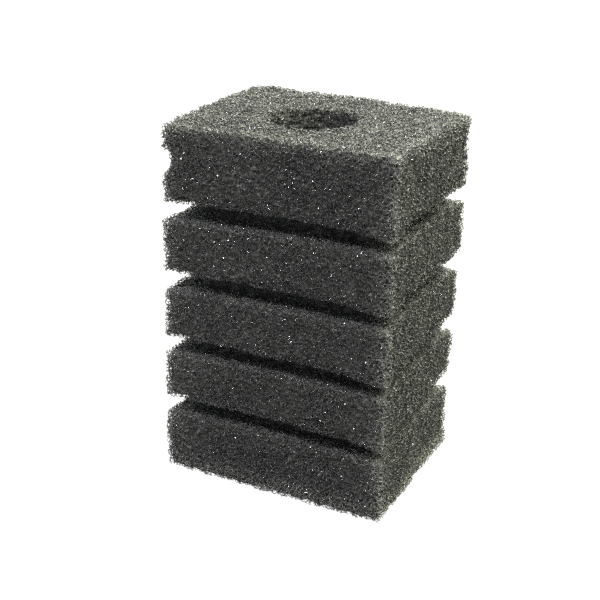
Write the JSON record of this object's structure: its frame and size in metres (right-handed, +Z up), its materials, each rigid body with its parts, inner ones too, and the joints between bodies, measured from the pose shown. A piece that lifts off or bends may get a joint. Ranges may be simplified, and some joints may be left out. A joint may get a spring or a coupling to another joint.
{
  "type": "sponge filter",
  "caption": "Upright rectangular block of dark open-cell filter foam with all-round grooves and a blind round bore in the top for an inlet tube.",
  "frame": {"origin": "centre of the bottom face of the block", "axes": "+Z up, out of the mouth of the bore; X along the wide faces; the front face looks along -Y, and the bore's axis stands 4 mm in front of the block's middle"},
  "size_m": [0.1, 0.08, 0.155],
  "materials": {
    "foam": "matt open-cell polyurethane foam, charcoal grey"
  },
  "bodies": {
    "root": {"foam_block": "foam"}
  },
  "joints": []
}
